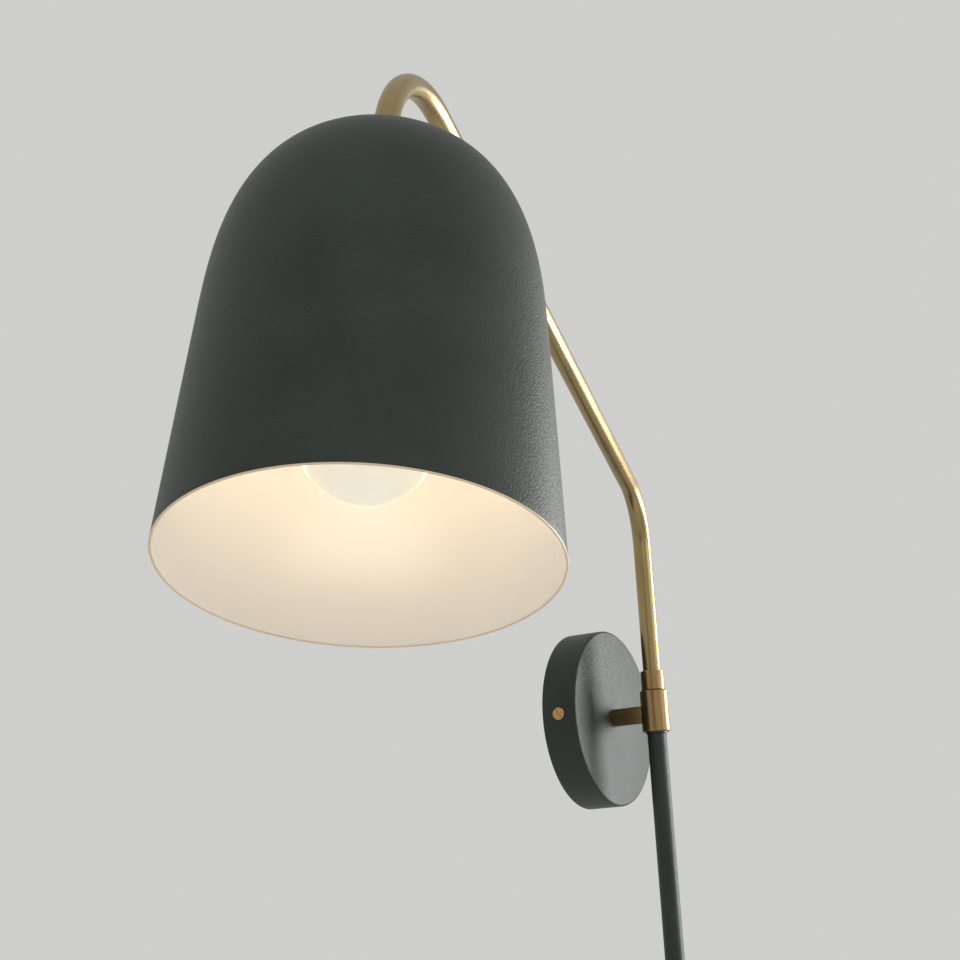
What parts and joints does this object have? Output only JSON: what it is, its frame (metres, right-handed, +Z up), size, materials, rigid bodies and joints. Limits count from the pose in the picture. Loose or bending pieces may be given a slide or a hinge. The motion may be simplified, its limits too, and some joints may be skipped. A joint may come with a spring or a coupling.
{
  "type": "gooseneck wall sconce",
  "caption": "Swing-arm wall sconce: round canopy, swivel tee, bent brass tube arm with a painted lower handle, and a tilted spun bell shade over a screw-in bulb.",
  "frame": {"origin": "centre of the wall bracket's back face, on the wall, at the middle of the two wall slots and of the supply hole", "axes": "+Y points into the wall, -Y out into the room, +Z up along the swivel axis, X along the wall"},
  "size_m": [0.6946, 0.2621, 0.534],
  "materials": {
    "green_powder_coat": "fine-textured matte powder coat",
    "aged_brass": "satin, slightly aged",
    "turned_brass": "turned, lengthwise brushed",
    "zinc_steel": "zinc plated",
    "spring_steel": "satin",
    "black_steel": "black oxide",
    "nickel": "nickel plated",
    "black_acetal": "matte",
    "white_plastic": "satin",
    "white_enamel": "satin",
    "glazed_porcelain": "glazed",
    "black_vitrite": "gloss",
    "opal_glass": "opal",
    "clear_glass": "clear",
    "phosphor": "light-emitting sticks",
    "white_sleeve": "flexible sleeve",
    "earth_sleeve": "flexible sleeve"
  },
  "bodies": {
    "wall_side": {"wall_bracket": "zinc_steel", "canopy": "green_powder_coat", "canopy_screws": "turned_brass", "stub_arm": "turned_brass", "canopy_washer": "zinc_steel", "stub_nut": "zinc_steel", "tee_body": "turned_brass", "top_bush": "black_acetal", "bottom_bush": "black_acetal", "terminal_block": "white_plastic", "terminal_inserts": "turned_brass", "terminal_screws": "zinc_steel", "block_screw": "zinc_steel", "earth_screw": "turned_brass", "earth_washer": "turned_brass", "earth_wire": "earth_sleeve", "canopy_lead": "white_sleeve"},
    "arm": {"pivot_spindle": "turned_brass", "collar_grub_screw": "black_steel", "spring_washer": "spring_steel", "handle_ferrule": "turned_brass", "lower_tube": "green_powder_coat", "end_plug": "green_powder_coat", "gooseneck_tube": "aged_brass", "arm_lead": "white_sleeve", "shade": "green_powder_coat", "shade_ferrule": "turned_brass", "shade_nipple": "zinc_steel", "shade_washer": "zinc_steel", "shade_nut": "zinc_steel", "holder_spacer": "white_enamel", "holder_cap": "white_plastic", "holder_body": "white_plastic", "holder_insulator": "glazed_porcelain", "holder_terminal_screws": "zinc_steel", "screw_shell": "nickel", "centre_contact": "spring_steel", "bulb_contact": "nickel", "bulb_base_disc": "black_vitrite", "bulb_cap": "nickel", "bulb_glass": "opal_glass", "bulb_stem": "clear_glass", "bulb_filaments": "phosphor"}
  },
  "joints": [
    {"name": "arm_swivel", "type": "hinge", "parent": "wall_side", "child": "arm", "pos_m": [0, -0.055, 0], "axis": [0, 0, 1], "range_deg": [-2.5, 157.5]}
  ]
}
